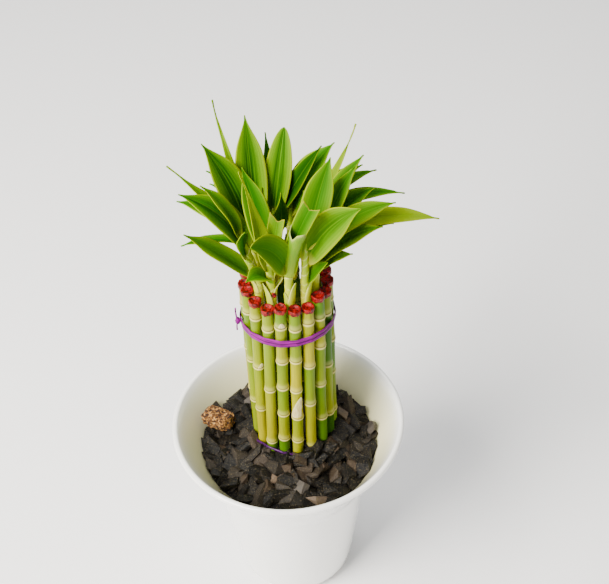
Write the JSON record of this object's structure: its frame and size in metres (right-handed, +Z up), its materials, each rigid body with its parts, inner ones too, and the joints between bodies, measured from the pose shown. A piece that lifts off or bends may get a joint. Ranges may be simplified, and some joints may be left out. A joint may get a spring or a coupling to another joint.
{
  "type": "potted lucky bamboo",
  "caption": "Lucky bamboo plant in a flared white ceramic pot: a tied ring of wax-sealed cut canes with leafy shoots, standing in dark slate chips.",
  "frame": {"origin": "centre of the pot's flat foot, on the surface that it stands on", "axes": "+Z up along the pot's axis, -Y towards the viewer in front, +X to the viewer's right"},
  "size_m": [0.2161, 0.192, 0.4571],
  "materials": {
    "white_glaze": "gloss",
    "slate": "matte",
    "bark": "matte",
    "cane_skin": "satin",
    "leaf": "satin",
    "red_wax": "gloss",
    "magenta_ribbon": "gloss",
    "purple_tie": "satin"
  },
  "bodies": {
    "root": {"bark_lump": "bark", "cane_01": "cane_skin", "cane_02": "cane_skin", "cane_03": "cane_skin", "cane_04": "cane_skin", "cane_05": "cane_skin", "cane_06": "cane_skin", "cane_07": "cane_skin", "cane_08": "cane_skin", "cane_09": "cane_skin", "cane_10": "cane_skin", "cane_11": "cane_skin", "cane_12": "cane_skin", "cane_13": "cane_skin", "cane_14": "cane_skin", "cane_15": "cane_skin", "cane_16": "cane_skin", "cane_17": "cane_skin", "cane_18": "cane_skin", "low_tie": "purple_tie", "pot": "white_glaze", "ribbon": "magenta_ribbon", "shoot_back": "leaf", "shoot_back_left": "leaf", "shoot_back_right": "leaf", "shoot_front": "leaf", "shoot_front_left": "leaf", "shoot_front_right": "leaf", "shoot_left": "leaf", "shoot_left_back": "leaf", "shoot_left_front": "leaf", "shoot_right": "leaf", "shoot_right_back": "leaf", "shoot_right_front": "leaf", "slate_gravel": "slate", "wax_seal_01": "red_wax", "wax_seal_02": "red_wax", "wax_seal_03": "red_wax", "wax_seal_04": "red_wax", "wax_seal_05": "red_wax", "wax_seal_06": "red_wax", "wax_seal_07": "red_wax", "wax_seal_08": "red_wax", "wax_seal_09": "red_wax", "wax_seal_10": "red_wax", "wax_seal_11": "red_wax", "wax_seal_12": "red_wax", "wax_seal_13": "red_wax", "wax_seal_14": "red_wax", "wax_seal_15": "red_wax", "wax_seal_16": "red_wax", "wax_seal_17": "red_wax", "wax_seal_18": "red_wax"}
  },
  "joints": []
}
